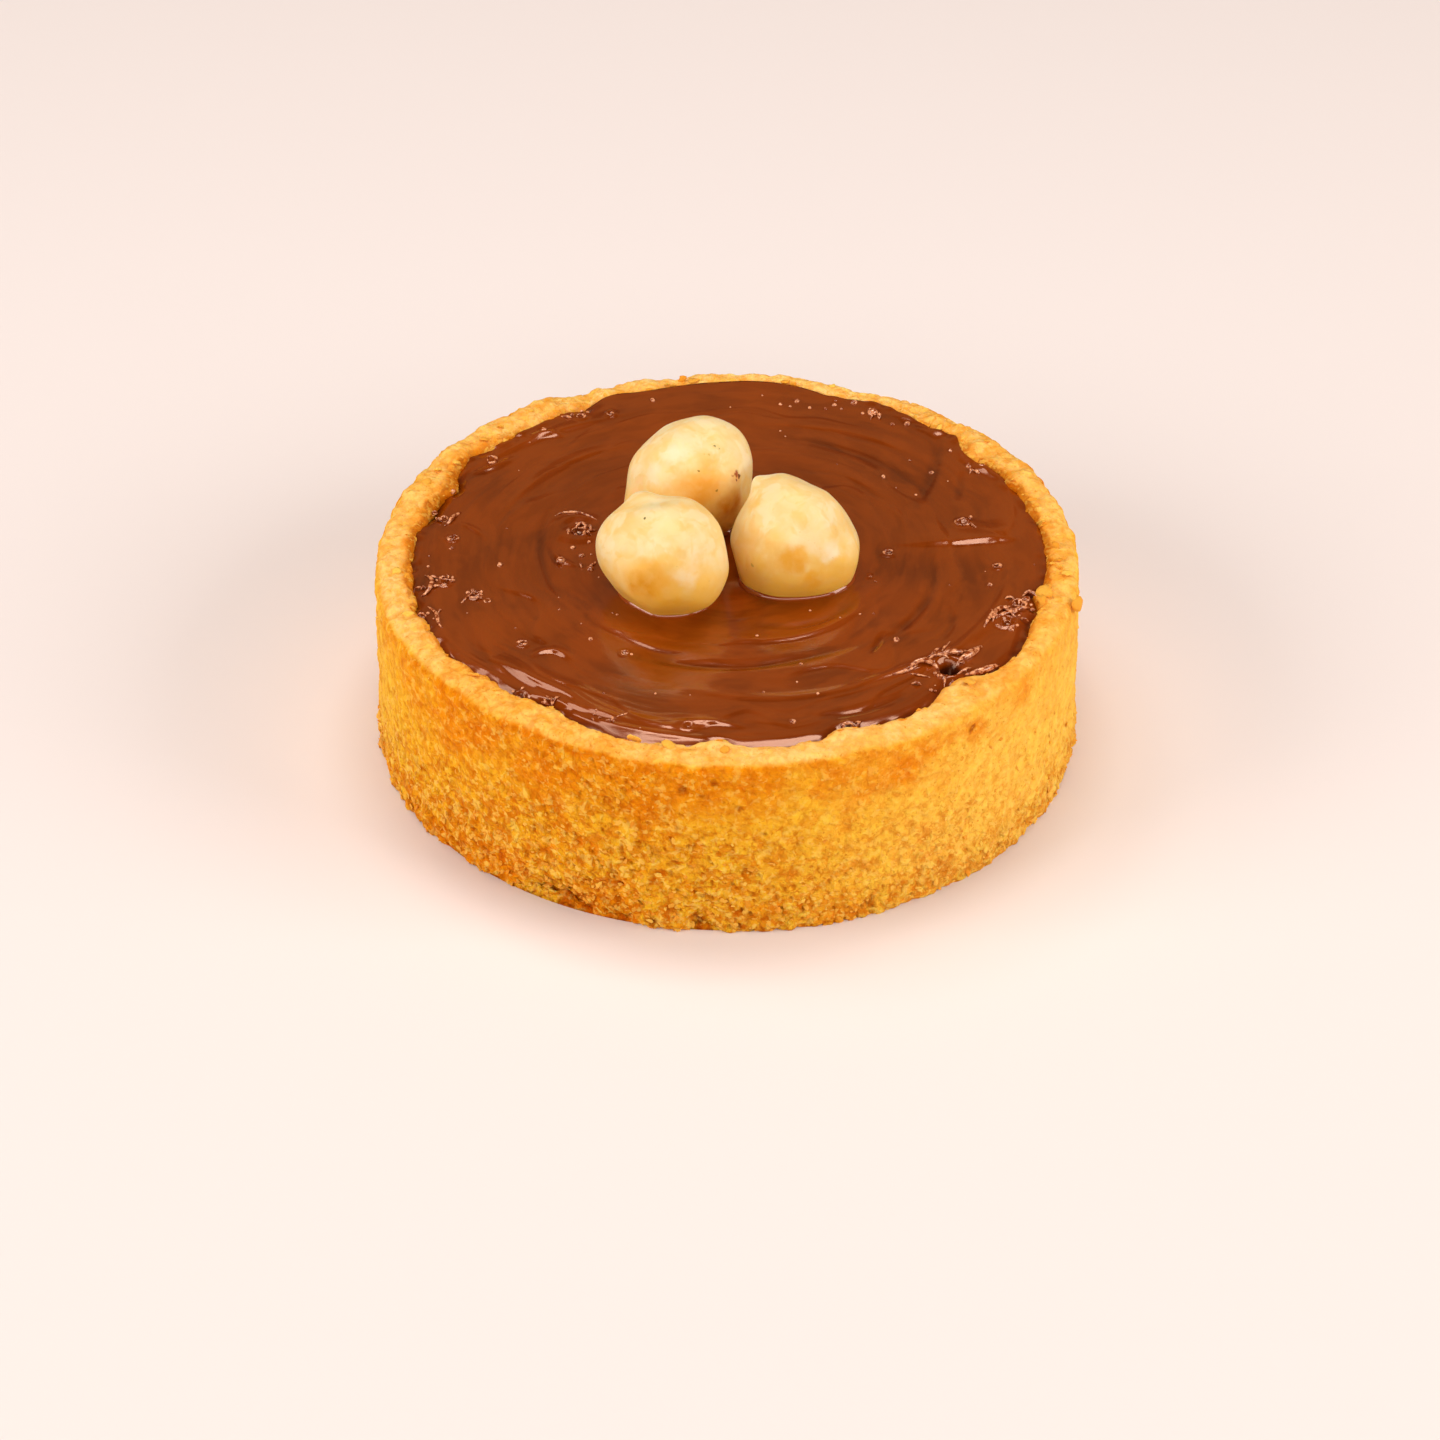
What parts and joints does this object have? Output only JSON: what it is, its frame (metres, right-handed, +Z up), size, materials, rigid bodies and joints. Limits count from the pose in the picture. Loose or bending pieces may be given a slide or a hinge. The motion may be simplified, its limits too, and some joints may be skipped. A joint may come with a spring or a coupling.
{
  "type": "chocolate tart",
  "caption": "Small round shortcrust tart filled to the rim with chocolate hazelnut spread, with whole blanched hazelnuts pressed into the middle.",
  "frame": {"origin": "middle of the flat underside, on the surface that the tart stands on", "axes": "+Z up, along the axis of the round case; +X to the right and +Y away as seen from the front, where two nuts stand before the third"},
  "size_m": [0.0804, 0.0804, 0.0341],
  "materials": {
    "pastry": "golden baked shortcrust, sandy and matte",
    "chocolate": "milk chocolate brown spread, satin with knife marks",
    "hazelnut": "cream, lightly toasted, faint waxy sheen"
  },
  "bodies": {
    "root": {"pastry_case": "pastry", "chocolate_filling": "chocolate", "hazelnut_left": "hazelnut", "hazelnut_right": "hazelnut", "hazelnut_back": "hazelnut"}
  },
  "joints": []
}
